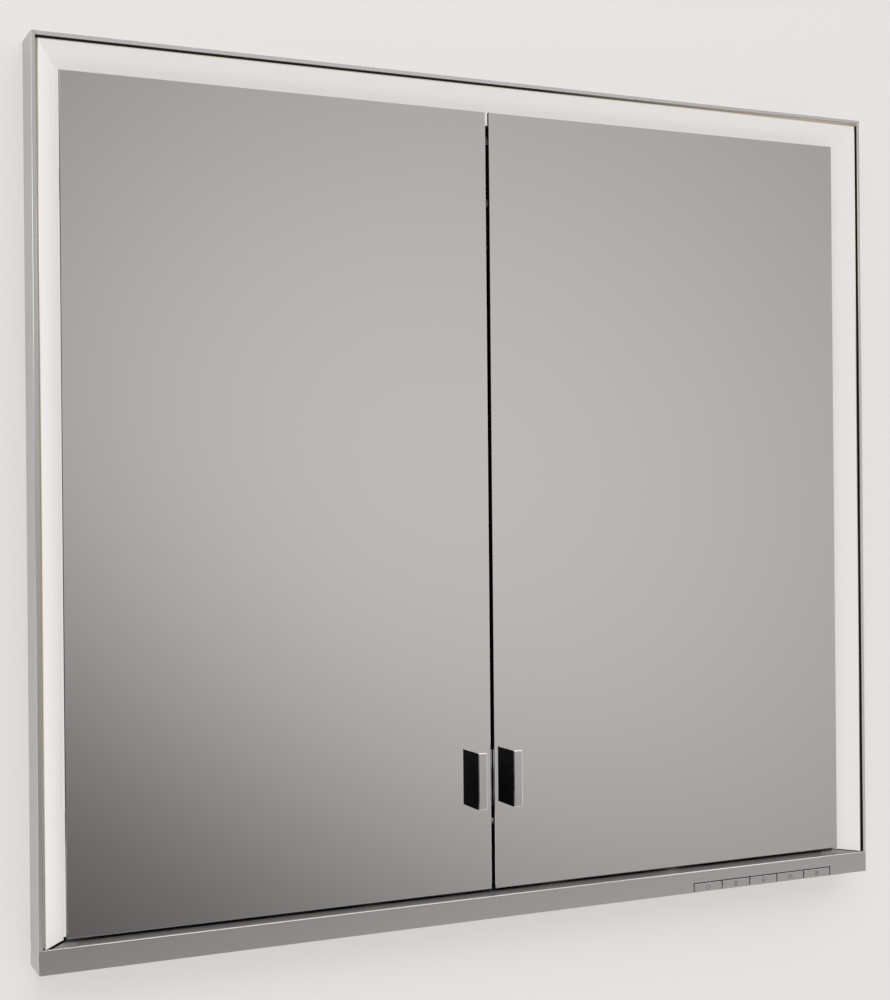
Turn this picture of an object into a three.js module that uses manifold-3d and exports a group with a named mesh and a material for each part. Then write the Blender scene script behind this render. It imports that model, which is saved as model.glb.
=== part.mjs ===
// Illuminated two-door mirror cabinet for a wall niche.
// Millimetres, +Z up, front towards -Y. The wall's face is the plane y = 0, and the model is
// built up from the frame's bottom edge. The outer group then puts the origin on the rear face
// of the bottom rail, where the frame rests against the wall.
import * as THREE from 'three';
import { mergeVertices } from 'three/addons/utils/BufferGeometryUtils.js';
import Module from 'manifold-3d';

const wasm = await Module();
wasm.setup();

// Overall size of the frame and of the whole cabinet
const WIDTH = 800;
const HEIGHT = 735;
const DEPTH = 165;
const PROUD = 36;
const HALF = WIDTH / 2;
const FRONT = -PROUD;
const BACK = DEPTH - PROUD;
const ORIGIN_HEIGHT = 6;

// Gaps between pieces
const SEAM = 0.1;
const FIT = 0.3;

// Outer frame section: u runs inwards from the outer edge, v is the depth
const LIP = 3.3;
const WALL = 1.8;
const WEB_OUTER = 5.0;
const WEB_INNER = 5.6;
const WEB_SETBACK = 1.6;
const GROOVE_DEPTH = 9;
const BRIDGE = 2;
const FLANGE = 11.7;
const FLANGE_THICK = 2;
const EDGE_BREAK = 0.4;

// Bottom rail
const RAIL_TALL = 19.8;
const RAIL_WALL = 1.6;
const RAIL_ARRIS = 0.9;
const RAIL_STEP = 1.5;
const LEDGE_GAP = 4.8;

// Light band: a splayed face from the lip to behind the doors, then a flat strip
const BAND_OUTER = 5.85;
const BAND_BEND = 22.5;
const BAND_INNER = 34;
const BAND_FLAT = -13;
const BAND_THICK = 2;

// Light channel and lamps behind the band
const CHANNEL_BACK = 14;
const SHEET = 1.2;
const STRIP_FROM = 18;
const STRIP_WIDE = 12;
const STRIP_THICK = 1.5;

// Niche body
const BODY_INSET = 12;
const BODY_BACK = 126.3;

// Doors
const DOOR_EDGE = 24;
const DOOR_TOP = 710.5;
const DOOR_BOTTOM = 22.4;
const DOOR_GAP = 3.3;
const DOOR_FRONT = FRONT + 13.6;
const FRONT_PANE = 1.9;
const GLUE = 0.3;
const REAR_PANE = 1.8;
const REAR_INSET = 0.5;
const DOOR_BACK = DOOR_FRONT + FRONT_PANE + GLUE + REAR_PANE;

// Door handles
const HANDLE_OUT = 16.4;
const HANDLE_WIDE = 8;
const HANDLE_TALL = 49.5;
const HANDLE_BOTTOM = 96.3;
const HANDLE_FROM_CENTRE = 13.25;
const CLIP_REACH = 16;
const CLIP_THICK = 0.6;

// Knuckle hinges
const HINGE_U = 26.5;
const HINGE_V = -18.1;
const KNUCKLE_R = 2.2;
const PIN_R = 1.1;
const PIN_CLEARANCE = 0.08;
const HINGE_TALL = 24;
const CENTRE_KNUCKLE = 11.8;
const KNUCKLE_GAP = 0.2;
const LEAF_REACH = 25;
const HINGE_HEIGHTS = { lower: 110, upper: 620 };

// Inside
const SHELF_THICK = 6;
const SHELF_FRONT = 18;
const SHELF_BACK = 122;
const SHELF_HEIGHTS = { lower: 240, upper: 455 };
const SHELF_SIDE_GAP = 14.5;
const MIRROR_THICK = 3;
const MIRROR_BACK = 125.5;
const COVER_HEIGHT = 690;
const SOCKET = { wide: 80, tall: 150, thick: 34.5, y: 80, z: 115 };
const SOCKET_RECESS_R = 19.5;
const SOCKET_RECESS_DEPTH = 15;
const SOCKET_PITCH = 71;
const GROMMET_X = 250;
const GROMMET_Z = 707;
const GROMMET_HOLE_R = 10;

// Keys in the bottom rail
const KEY_NAMES = ['power_key', 'dimmer_key', 'mirror_light_key', 'basin_light_key', 'demist_key'];
const KEY_START = 200.8;
const KEY_PITCH = 31.1;
const KEY_GROOVE = 1.0;
const KEY_TOP = 7.9;
const KEY_DEEP = 7;
const KEY_STEM = 4;

function finish(color, roughness, metalness) {
  return new THREE.MeshStandardMaterial({ color, roughness, metalness });
}

const anodised = finish(0xb4b0b0, 0.38, 0.9);
const sheetMetal = finish(0xc8c8c8, 0.5, 0.8);
const mirrorGlass = finish(0xa9a9a8, 0.03, 1.0);
const chrome = finish(0xd8d8dc, 0.06, 1.0);
const opal = finish(0xf1eeea, 0.55, 0.0);
const clearGlass = finish(0xd5e4e0, 0.05, 0.0);
const steel = finish(0xa8a8ac, 0.35, 0.9);
const whitePlastic = finish(0xeeeeec, 0.3, 0.0);
const blackPlastic = finish(0x1c1c1e, 0.5, 0.0);
const blackRubber = finish(0x161616, 0.8, 0.0);
const keyFace = finish(0xaaa6a6, 0.4, 0.85);
const circuitBoard = finish(0x1f5a3c, 0.5, 0.0);

const cabinet = new THREE.Group();

function place(name, geometry, material) {
  const mesh = new THREE.Mesh(geometry, material);
  mesh.name = name;
  cabinet.add(mesh);
  return mesh;
}

// A block between two corners
function block(x, y, z) {
  const geometry = new THREE.BoxGeometry(x[1] - x[0], y[1] - y[0], z[1] - z[0]);
  return geometry.translate((x[0] + x[1]) / 2, (y[0] + y[1]) / 2, (z[0] + z[1]) / 2);
}

// The x range of a piece that is given on the right-hand side, moved to either side
function sideRange(side, from, to) {
  return side < 0 ? [-to, -from] : [from, to];
}

// An outline in the x-y plane carried up from one height to another
function column(points, low, high) {
  const shape = new THREE.Shape(points.map(([x, y]) => new THREE.Vector2(x, y)));
  const geometry = new THREE.ExtrudeGeometry(shape, { depth: high - low, bevelEnabled: false });
  return geometry.translate(0, 0, low);
}

function asSolid(geometry) {
  const bare = geometry.clone();
  bare.deleteAttribute('normal');
  bare.deleteAttribute('uv');
  const merged = mergeVertices(bare, 1e-4);
  return new wasm.Manifold(new wasm.Mesh({
    numProp: 3,
    vertProperties: new Float32Array(merged.attributes.position.array),
    triVerts: new Uint32Array(merged.index.array),
  }));
}

function asGeometry(solid) {
  const mesh = solid.getMesh();
  const geometry = new THREE.BufferGeometry();
  geometry.setAttribute('position', new THREE.BufferAttribute(mesh.vertProperties, 3));
  geometry.setIndex(new THREE.BufferAttribute(mesh.triVerts, 1));
  return geometry;
}

function join(...pieces) {
  return asGeometry(pieces.map(asSolid).reduce((sum, piece) => sum.add(piece)));
}

function cut(whole, ...tools) {
  return asGeometry(tools.map(asSolid).reduce((rest, tool) => rest.subtract(tool), asSolid(whole)));
}

// A length of frame section with its ends cut square or mitred. The section's first coordinate
// is the distance inwards from the outer edge, so a mitred end is shorter by that distance.
function mitred(section, low, high, mitreLow, mitreHigh) {
  const geometry = column(section, low, high);
  const position = geometry.attributes.position;
  const middle = (low + high) / 2;
  for (let i = 0; i < position.count; i += 1) {
    const inwards = Math.abs(position.getX(i));
    const atTop = position.getZ(i) > middle;
    if (atTop && mitreHigh) {
      position.setZ(i, high - inwards - SEAM);
    }
    if (!atTop && mitreLow) {
      position.setZ(i, low + inwards + SEAM);
    }
  }
  return geometry;
}

// The same section on the left, on the right and along the top of the frame
function leftRail(section, low) {
  return mitred(section, low, HEIGHT, false, true).translate(-HALF, 0, 0);
}

function rightRail(section, low) {
  const mirrored = section.map(([u, v]) => [-u, v]);
  return mitred(mirrored, low, HEIGHT, false, true).translate(HALF, 0, 0);
}

function topRail(section) {
  return mitred(section, -HALF, HALF, true, true).rotateY(Math.PI / 2).translate(0, 0, HEIGHT);
}

function threeSides(name, section, low, material) {
  place(`${name}_left`, leftRail(section, low), material);
  place(`${name}_right`, rightRail(section, low), material);
  place(`${name}_top`, topRail(section), material);
}

function frameRails() {
  const section = [
    [0, FRONT + EDGE_BREAK],
    [EDGE_BREAK, FRONT],
    [LIP, FRONT],
    [LIP, FRONT + GROOVE_DEPTH],
    [WEB_OUTER, FRONT + GROOVE_DEPTH],
    [WEB_OUTER, FRONT + WEB_SETBACK],
    [WEB_INNER, FRONT + WEB_SETBACK],
    [WEB_INNER, FRONT + GROOVE_DEPTH + BRIDGE],
    [WALL, FRONT + GROOVE_DEPTH + BRIDGE],
    [WALL, -FLANGE_THICK],
    [FLANGE, -FLANGE_THICK],
    [FLANGE, 0],
    [0, 0],
  ];
  threeSides('frame', section, RAIL_TALL + SEAM, anodised);
}

// The slanted gap between one end of the ledge and the light band's lower edge
function ledgeEndGap(side) {
  const front = FRONT + WEB_SETBACK;
  const outline = [
    [HALF - BAND_OUTER, front],
    [HALF - BAND_OUTER - LEDGE_GAP, front],
    [HALF - BAND_BEND - LEDGE_GAP, BAND_FLAT],
    [HALF - BAND_BEND, BAND_FLAT],
  ];
  const sided = outline.map(([x, y]) => [side * x, y]);
  return column(sided, RAIL_TALL - 2 * RAIL_WALL, RAIL_TALL + 1);
}

function bottomRail() {
  const section = [
    [FRONT, EDGE_BREAK],
    [FRONT + EDGE_BREAK, 0],
    [0, 0],
    [0, FLANGE],
    [-RAIL_STEP, FLANGE],
    [-RAIL_STEP, RAIL_TALL],
    [FRONT + RAIL_ARRIS, RAIL_TALL],
    [FRONT, RAIL_TALL - RAIL_ARRIS],
  ];
  // The section stands in the y-z plane and is carried along x
  const outside = column(section, -HALF, HALF);
  outside.applyMatrix4(new THREE.Matrix4().set(0, 0, 1, 0, 1, 0, 0, 0, 0, 1, 0, 0, 0, 0, 0, 1));
  const inside = block(
    [-HALF + RAIL_WALL, HALF - RAIL_WALL],
    [FRONT + RAIL_WALL, -RAIL_STEP - RAIL_WALL],
    [RAIL_WALL, RAIL_TALL - RAIL_WALL],
  );
  const half = KEY_GROOVE / 2;
  const keySlot = block(
    [KEY_START - half, KEY_START + KEY_NAMES.length * KEY_PITCH + half],
    [FRONT - 1, FRONT + KEY_DEEP + 1.5],
    [-1, KEY_TOP + KEY_GROOVE],
  );
  const solid = cut(outside, inside, keySlot, ledgeEndGap(-1), ledgeEndGap(1));
  place('frame_bottom', solid, anodised);
}

// Slots in the light band where the fixed hinge arms come through
function hingeSlots(side) {
  return Object.values(HINGE_HEIGHTS).map((z) => block(
    sideRange(side, HALF - HINGE_U - 1.1, HALF - HINGE_U + 1.1),
    [BAND_FLAT - 1, BAND_FLAT + BAND_THICK + 1],
    [z - CENTRE_KNUCKLE / 2 - 0.6, z + CENTRE_KNUCKLE / 2 + 0.6],
  ));
}

function lightBand() {
  const front = FRONT + WEB_SETBACK - SEAM;
  const slope = (BAND_FLAT - front) / (BAND_BEND - BAND_OUTER);
  const back = BAND_FLAT + BAND_THICK;
  const legDepth = BAND_THICK * Math.hypot(1, slope);
  const innerBend = BAND_OUTER + (back - front - legDepth) / slope;
  const section = [
    [BAND_OUTER, front],
    [BAND_BEND, BAND_FLAT],
    [BAND_INNER, BAND_FLAT],
    [BAND_INNER, back],
    [innerBend, back],
    [BAND_OUTER, front + legDepth],
  ];
  const low = RAIL_TALL + SEAM;
  place('light_band_left', cut(leftRail(section, low), ...hingeSlots(-1)), opal);
  place('light_band_right', cut(rightRail(section, low), ...hingeSlots(1)), opal);
  place('light_band_top', topRail(section), opal);
}

function lightChannel() {
  const outer = BODY_INSET + SHEET + FIT;
  const front = BAND_FLAT + BAND_THICK + FIT;
  const section = [
    [BAND_INNER - SHEET, front],
    [BAND_INNER, front],
    [BAND_INNER, CHANNEL_BACK],
    [outer, CHANNEL_BACK],
    [outer, CHANNEL_BACK - SHEET],
    [BAND_INNER - SHEET, CHANNEL_BACK - SHEET],
  ];
  threeSides('light_channel', section, RAIL_TALL + FIT, sheetMetal);
}

function lampStrips() {
  const back = CHANNEL_BACK - SHEET - FIT;
  const section = [
    [STRIP_FROM, back - STRIP_THICK],
    [STRIP_FROM + STRIP_WIDE, back - STRIP_THICK],
    [STRIP_FROM + STRIP_WIDE, back],
    [STRIP_FROM, back],
  ];
  threeSides('lamp_strip', section, RAIL_TALL + 10, whitePlastic);
}

function nicheBody() {
  const outer = HALF - BODY_INSET;
  const inner = outer - SHEET - FIT;
  const low = BODY_INSET;
  const high = HEIGHT - BODY_INSET;
  const depth = [FIT, BODY_BACK - FIT];
  place('body_left', block(sideRange(-1, outer - SHEET, outer), depth, [low, high]), sheetMetal);
  place('body_right', block(sideRange(1, outer - SHEET, outer), depth, [low, high]), sheetMetal);
  place('body_top', block([-inner, inner], depth, [high - SHEET, high]), sheetMetal);
  place('body_bottom', block([-inner, inner], depth, [low, low + SHEET]), sheetMetal);
  const panel = block([-outer, outer], [BODY_BACK, BODY_BACK + SHEET], [low, high]);
  const hole = new THREE.CylinderGeometry(GROMMET_HOLE_R, GROMMET_HOLE_R, 10, 32);
  hole.translate(GROMMET_X, BODY_BACK, GROMMET_Z);
  place('body_rear', cut(panel, hole), sheetMetal);
}

// A ring with a groove round its edge that grips the rear panel's hole
function cableGrommet() {
  const neck = GROMMET_HOLE_R - FIT;
  const rim = GROMMET_HOLE_R + 2.5;
  const bore = 4;
  const inside = BODY_BACK - 2;
  const profile = [
    [bore, inside],
    [rim, inside],
    [rim, BODY_BACK - SEAM],
    [neck, BODY_BACK - SEAM],
    [neck, BODY_BACK + SHEET + SEAM],
    [rim, BODY_BACK + SHEET + SEAM],
    [rim, BACK],
    [bore, BACK],
    [bore, inside],
  ];
  const ring = new THREE.LatheGeometry(profile.map(([r, y]) => new THREE.Vector2(r, y)), 32);
  place('cable_grommet', ring.translate(GROMMET_X, 0, GROMMET_Z), blackRubber);
}

function rearMirror() {
  const half = HALF - SHELF_SIDE_GAP;
  const low = BODY_INSET + SHEET + FIT;
  const glass = block([-half, half], [MIRROR_BACK - MIRROR_THICK, MIRROR_BACK], [low, COVER_HEIGHT - FIT]);
  place('rear_mirror', glass, mirrorGlass);
}

// An angle on the side wall that carries one end of a shelf
function shelfRail(side, shelfHeight) {
  const wallSide = HALF - BODY_INSET - SHEET - FIT;
  const top = shelfHeight - FIT;
  const upright = block(
    sideRange(side, wallSide - 1.5, wallSide),
    [SHELF_FRONT + 4, SHELF_BACK - 4],
    [top - 12, top],
  );
  const seat = block(
    sideRange(side, wallSide - 11, wallSide),
    [SHELF_FRONT + 4, SHELF_BACK - 4],
    [top - 1.5, top],
  );
  return join(upright, seat);
}

function shelves() {
  const half = HALF - SHELF_SIDE_GAP;
  for (const [level, height] of Object.entries(SHELF_HEIGHTS)) {
    const glass = block([-half, half], [SHELF_FRONT, SHELF_BACK], [height, height + SHELF_THICK]);
    place(`shelf_${level}`, glass, clearGlass);
    place(`shelf_rail_${level}_left`, shelfRail(-1, height), anodised);
    place(`shelf_rail_${level}_right`, shelfRail(1, height), anodised);
  }
}

// The space above the storage that holds the lamps' supply
function serviceSpace() {
  const half = HALF - BODY_INSET - SHEET - FIT;
  const front = CHANNEL_BACK + FIT;
  const floor = block([-half, half], [front, BODY_BACK - 1], [COVER_HEIGHT, COVER_HEIGHT + SHEET]);
  const face = block([-half, half], [front, front + SHEET], [COVER_HEIGHT, COVER_HEIGHT + 8]);
  place('service_cover', join(floor, face), sheetMetal);
  place('lamp_driver', block([-110, 70], [45, 100], [694, 716]), whitePlastic);
  place('terminal_block', block([180, 225], [60, 84], [694, 712]), blackPlastic);
}

function twinSocket() {
  const outer = HALF - BODY_INSET - SHEET - FIT;
  const inner = outer - SOCKET.thick;
  const bevel = 2;
  const face = [
    [outer, SOCKET.y - SOCKET.wide / 2],
    [inner + bevel, SOCKET.y - SOCKET.wide / 2],
    [inner, SOCKET.y - SOCKET.wide / 2 + bevel],
    [inner, SOCKET.y + SOCKET.wide / 2 - bevel],
    [inner + bevel, SOCKET.y + SOCKET.wide / 2],
    [outer, SOCKET.y + SOCKET.wide / 2],
  ];
  const housing = column(face, SOCKET.z - SOCKET.tall / 2, SOCKET.z + SOCKET.tall / 2);
  const recesses = [-0.5, 0.5].map((step) => {
    const tool = new THREE.CylinderGeometry(SOCKET_RECESS_R, SOCKET_RECESS_R, 2 * SOCKET_RECESS_DEPTH, 32);
    return tool.rotateZ(Math.PI / 2).translate(inner, SOCKET.y, SOCKET.z + step * SOCKET_PITCH);
  });
  place('twin_socket', cut(housing, ...recesses), whitePlastic);
}

// One key: a cap with a stem behind it that presses a switch
function key(index) {
  const low = KEY_START + index * KEY_PITCH + KEY_GROOVE / 2;
  const high = low + KEY_PITCH - KEY_GROOVE;
  const back = FRONT + KEY_DEEP - KEY_STEM;
  const middle = (low + high) / 2;
  const cap = block([low, high], [FRONT, back], [0, KEY_TOP]);
  const stem = block([middle - 2, middle + 2], [back - 1, back + KEY_STEM], [2.2, 6.2]);
  return join(cap, stem);
}

function keys() {
  KEY_NAMES.forEach((name, index) => place(name, key(index), keyFace));
  const boardFront = FRONT + KEY_DEEP + 2.6;
  const end = KEY_START + KEY_NAMES.length * KEY_PITCH;
  const board = block([KEY_START - 4, end + 4], [boardFront, boardFront + 1.6], [RAIL_WALL + 0.4, 17]);
  const switches = KEY_NAMES.map((name, index) => {
    const middle = KEY_START + (index + 0.5) * KEY_PITCH;
    return block([middle - 3, middle + 3], [boardFront - 1.5, boardFront + 0.5], [2, 8]);
  });
  place('key_board', join(board, ...switches), circuitBoard);
}

function hingeCylinder(side, radius, low, high, segments) {
  const round = new THREE.CylinderGeometry(radius, radius, high - low, segments);
  round.rotateX(Math.PI / 2);
  return round.translate(side * (HALF - HINGE_U), HINGE_V, (low + high) / 2);
}

// The fixed half: a plate on the body's side, an arm through the light band and one knuckle
function hingeBracket(side, z) {
  const wallSide = HALF - BODY_INSET - SHEET - FIT;
  const axis = HALF - HINGE_U;
  const low = z - CENTRE_KNUCKLE / 2;
  const high = z + CENTRE_KNUCKLE / 2;
  const plate = block(sideRange(side, wallSide - 1.5, wallSide), [-8, 11], [z - 16, z + 16]);
  const web = block(sideRange(side, axis - 0.8, wallSide), [-8, -6.5], [low, high]);
  const arm = block(sideRange(side, axis - 0.8, axis + 0.8), [HINGE_V + 1.6, -6.5], [low, high]);
  const knuckle = hingeCylinder(side, KNUCKLE_R, low, high, 24);
  const bore = hingeCylinder(side, PIN_R + PIN_CLEARANCE, low - 1, high + 1, 24);
  return cut(join(plate, web, arm, knuckle), bore);
}

// The door's half: a plate bonded behind the front pane, with a knuckle at each end
function hingeLeaf(side, z) {
  const axis = HALF - HINGE_U;
  const front = HINGE_V - KNUCKLE_R;
  const half = HINGE_TALL / 2;
  const inner = CENTRE_KNUCKLE / 2 + KNUCKLE_GAP;
  const plate = block(
    sideRange(side, axis - KNUCKLE_R - LEAF_REACH, axis - KNUCKLE_R - 0.5),
    [front, front + SHEET],
    [z - half, z + half],
  );
  const ends = [[z - half, z - inner], [z + inner, z + half]];
  const tabs = ends.map((range) => block(
    sideRange(side, axis - KNUCKLE_R - 1, axis),
    [front, front + SHEET],
    range,
  ));
  const knuckles = ends.map(([low, high]) => hingeCylinder(side, KNUCKLE_R, low, high, 24));
  const bore = hingeCylinder(side, PIN_R + PIN_CLEARANCE, z - half - 1, z + half + 1, 24);
  return cut(join(plate, ...tabs, ...knuckles), bore);
}

function hinges(side, hand) {
  for (const [level, z] of Object.entries(HINGE_HEIGHTS)) {
    const pin = hingeCylinder(side, PIN_R, z - HINGE_TALL / 2 - 0.5, z + HINGE_TALL / 2 + 0.5, 24);
    place(`${hand}_hinge_${level}_bracket`, hingeBracket(side, z), steel);
    place(`${hand}_hinge_${level}_leaf`, hingeLeaf(side, z), steel);
    place(`${hand}_hinge_${level}_pin`, pin, steel);
  }
}

function doorPanes(side, hand) {
  const outer = HALF - DOOR_EDGE;
  const inner = DOOR_GAP / 2;
  const frontPane = block(
    sideRange(side, inner, outer),
    [DOOR_FRONT, DOOR_FRONT + FRONT_PANE],
    [DOOR_BOTTOM, DOOR_TOP],
  );
  const rearPane = block(
    sideRange(side, inner + REAR_INSET, outer - REAR_INSET),
    [DOOR_BACK - REAR_PANE, DOOR_BACK],
    [DOOR_BOTTOM + REAR_INSET, DOOR_TOP - REAR_INSET],
  );
  const notches = Object.values(HINGE_HEIGHTS).map((z) => block(
    sideRange(side, HALF - HINGE_U - KNUCKLE_R - LEAF_REACH - 1, HALF),
    [DOOR_FRONT, DOOR_BACK + 1],
    [z - HINGE_TALL / 2 - 1, z + HINGE_TALL / 2 + 1],
  ));
  place(`${hand}_door_front_mirror`, frontPane, mirrorGlass);
  place(`${hand}_door_rear_mirror`, cut(rearPane, ...notches), mirrorGlass);
}

// The grip is a plain bar on the front pane. Its clip wraps the door's free edge.
function doorHandle(side, hand) {
  const inner = HANDLE_FROM_CENTRE;
  const outer = inner + HANDLE_WIDE;
  const front = DOOR_FRONT - HANDLE_OUT;
  const back = DOOR_FRONT - SEAM;
  const corner = 0.5;
  const top = HANDLE_BOTTOM + HANDLE_TALL;
  const section = [
    [inner, front + corner],
    [inner + corner, front],
    [outer - corner, front],
    [outer, front + corner],
    [outer, back],
    [inner, back],
  ];
  const bar = column(section.map(([x, y]) => [side * x, y]), HANDLE_BOTTOM, top);
  place(`${hand}_handle`, bar, chrome);
  const clipBack = DOOR_BACK + SEAM + CLIP_THICK;
  const edge = DOOR_GAP / 2 - SEAM;
  const clip = [
    [edge - CLIP_THICK, DOOR_FRONT + SEAM],
    [edge, DOOR_FRONT + SEAM],
    [edge, DOOR_BACK + SEAM],
    [CLIP_REACH, DOOR_BACK + SEAM],
    [CLIP_REACH, clipBack],
    [edge - CLIP_THICK, clipBack],
  ];
  const strap = column(clip.map(([x, y]) => [side * x, y]), HANDLE_BOTTOM, top);
  place(`${hand}_handle_clip`, strap, chrome);
}

// A magnetic stop on the ledge behind the free corner of a door
function doorCatch(side, hand) {
  const stop = block(
    sideRange(side, 24, 50),
    [DOOR_BACK + FIT, DOOR_BACK + FIT + 10],
    [RAIL_TALL + SEAM, RAIL_TALL + 12],
  );
  place(`${hand}_catch`, stop, blackPlastic);
}

frameRails();
bottomRail();
nicheBody();
lightChannel();
lampStrips();
lightBand();
cableGrommet();
rearMirror();
shelves();
serviceSpace();
twinSocket();
keys();
for (const [side, hand] of [[-1, 'left'], [1, 'right']]) {
  hinges(side, hand);
  doorPanes(side, hand);
  doorHandle(side, hand);
  doorCatch(side, hand);
}

const part = new THREE.Group();
cabinet.position.z = -ORIGIN_HEIGHT;
part.add(cabinet);

export default part;
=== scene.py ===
"""Looks of an illuminated two-door mirror cabinet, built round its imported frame.

Lengths are in metres, +Z is up and -Y points out of the wall. Each operator makes one piece or one
group of like pieces. The main function at the end runs them in order.
"""
import math

import bmesh
import bpy
import numpy as np
from bpy.props import FloatProperty, FloatVectorProperty, PointerProperty
from mathutils import Matrix, Vector


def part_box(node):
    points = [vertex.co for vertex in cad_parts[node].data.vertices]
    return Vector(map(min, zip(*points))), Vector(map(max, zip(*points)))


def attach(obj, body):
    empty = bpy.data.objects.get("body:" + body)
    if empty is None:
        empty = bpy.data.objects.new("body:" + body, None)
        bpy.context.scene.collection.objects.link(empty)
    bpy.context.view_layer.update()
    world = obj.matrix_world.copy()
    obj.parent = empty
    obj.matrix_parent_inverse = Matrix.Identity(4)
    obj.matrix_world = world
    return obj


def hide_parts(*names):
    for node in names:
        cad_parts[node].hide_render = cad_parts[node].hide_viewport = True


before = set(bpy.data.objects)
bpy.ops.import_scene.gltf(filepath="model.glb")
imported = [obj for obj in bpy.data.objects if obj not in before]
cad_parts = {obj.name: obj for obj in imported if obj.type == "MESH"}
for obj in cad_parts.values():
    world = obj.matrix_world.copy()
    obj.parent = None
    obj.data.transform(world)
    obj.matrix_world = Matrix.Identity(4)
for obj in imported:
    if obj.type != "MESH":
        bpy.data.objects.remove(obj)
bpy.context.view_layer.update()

bl_info = {
    "name": "Mirror cabinet",
    "version": (1, 0, 0),
    "blender": (4, 5, 0),
    "location": "View3D > Sidebar > Cabinet",
    "description": "Builds the visible surfaces of a recessed mirror cabinet round its frame",
    "category": "Add Mesh",
}

MM = 0.001
HANDS = {"left": -1, "right": 1}
SIDES = ("left", "right", "top")
LEVELS = ("lower", "upper")
KEYS = ("power_key", "dimmer_key", "mirror_light_key", "basin_light_key", "demist_key")

RAIL_LOW, RAIL_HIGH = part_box("frame_bottom")
HALF = RAIL_HIGH.x
FRONT = RAIL_LOW.y
BOTTOM = RAIL_LOW.z
LEDGE = RAIL_HIGH.z
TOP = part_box("frame_top")[1].z
WEB_FRONT = FRONT + 1.6 * MM
BAND_FLAT = -13 * MM

# Margins by which a material tells one face from the next
HAIR = 0.05 * MM
LEAF = 0.1 * MM
SKIN = 0.3 * MM

# The signs of a rectangle's corners, in order round it
CORNERS = np.array([[1, 1], [-1, 1], [-1, -1], [1, -1]])

# Place and size in metres and power in watts of each lamp
LAMPS = {
    "key_light": ((-0.5, -1.7, 2.3), 1.6, 14),
    "fill_light": ((-2.2, -1.3, 0.5), 1.4, 2),
    "back_light": ((0.6, 2.6, 1.8), 1.8, 40),
}


# ---- sizes and colours

def length(name, description, default):
    return FloatProperty(name=name, description=description, default=default, min=0.0, unit="LENGTH")


def share(name, description, default):
    return FloatProperty(
        name=name, description=description, default=default, min=0.0, max=1.0, subtype="FACTOR")


def tint(name, description, default):
    return FloatVectorProperty(
        name=name, description=description, default=default, size=3, min=0.0, max=1.0, subtype="COLOR")


class CabinetFrameSettings(bpy.types.PropertyGroup):
    """Sizes and finish of the outer frame."""
    lip: length("Lip", "Thickness of the frame's front lip", 3.3 * MM)
    wall: length("Wall", "Thickness of the frame's wall behind the lip", 1.8 * MM)
    flange: length("Flange", "Width of the wall flange", 11.7 * MM)
    groove: length("Groove", "Depth of the dark groove inside the lip", 9 * MM)
    web: length("Web", "From the outer edge to the light band's holder", 5.0 * MM)
    web_thick: length("Web thickness", "Thickness of the light band's holder", 0.6 * MM)
    arris: length("Arris", "Rounding of the long outer edges", 0.2 * MM)
    ledge_arris: length("Ledge arris", "Rounding of the bottom rail's upper front edge", 1.0 * MM)
    colour: tint("Colour", "Colour of the anodised metal", (0.475, 0.462, 0.46))
    # Painted light: the lip's front face is painted much brighter than the rest of the rail, for the light
    # that falls on it
    lip_light: tint("Lip light", "Colour of the cut lip of the side and top rails", (0.90, 0.882, 0.876))
    # Painted shade: the ledge on top of the bottom rail is painted dark and given little gloss, for the
    # shade on it
    ledge_shade: tint("Ledge shade", "Colour of the ledge on the bottom rail", (0.11, 0.107, 0.104))
    # Painted glow: the colour and the glow given to the light band's holder and the top groove, for light
    # leaking past the holder
    leak_glow: tint("Leak glow", "Colour of the light band's holder", (0.47, 0.43, 0.36))
    roughness: share("Roughness", "Roughness of the anodised metal", 0.25)


class CabinetLightSettings(bpy.types.PropertyGroup):
    """Sizes and finish of the light band."""
    outer: length("Outer edge", "From the frame's outer edge to the band's front edge", 5.85 * MM)
    bend: length("Bend", "From the frame's outer edge to the band's bend", 22.5 * MM)
    inner: length("Inner edge", "From the frame's outer edge to the band's inner edge", 34 * MM)
    thick: length("Thickness", "Thickness of the opal sheet", 2.0 * MM)
    setback: length("Setback", "Distance of the band's front edge behind the lip", 1.5 * MM)
    colour: tint("Colour", "Colour of the opal sheet", (0.16, 0.157, 0.155))
    light: tint("Light", "Colour of the light in the band", (1.0, 0.965, 0.945))
    glow: FloatProperty(name="Glow", description="Brightness of the lit band", default=0.64, min=0.0)


class CabinetDoorSettings(bpy.types.PropertyGroup):
    """Finish of the mirror doors and their grips."""
    seam: length("Ground edge", "Rounding of the glass edges", 0.45 * MM)
    silver: tint("Silver", "Colour that the mirrors reflect", (0.905, 0.882, 0.868))
    edge: tint("Edge", "Colour of the sealed glass edges", (0.004, 0.005, 0.005))
    chrome: tint("Chrome", "Colour of the polished grips", (0.80, 0.785, 0.775))
    grip_edge: length("Grip edge", "Rounding of the grips' edges", 0.6 * MM)


class CabinetInsideSettings(bpy.types.PropertyGroup):
    """Finish of the body and of what is inside it."""
    sheet: tint("Sheet", "Colour of the body's aluminium sheet", (0.66, 0.66, 0.67))
    glass: tint("Glass", "Colour of the shelves", (0.90, 0.965, 0.945))
    plastic: tint("Plastic", "Colour of the socket", (0.86, 0.86, 0.85))
    polished: length("Polished edge", "Rounding of the shelves' edges", 0.8 * MM)


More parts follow.
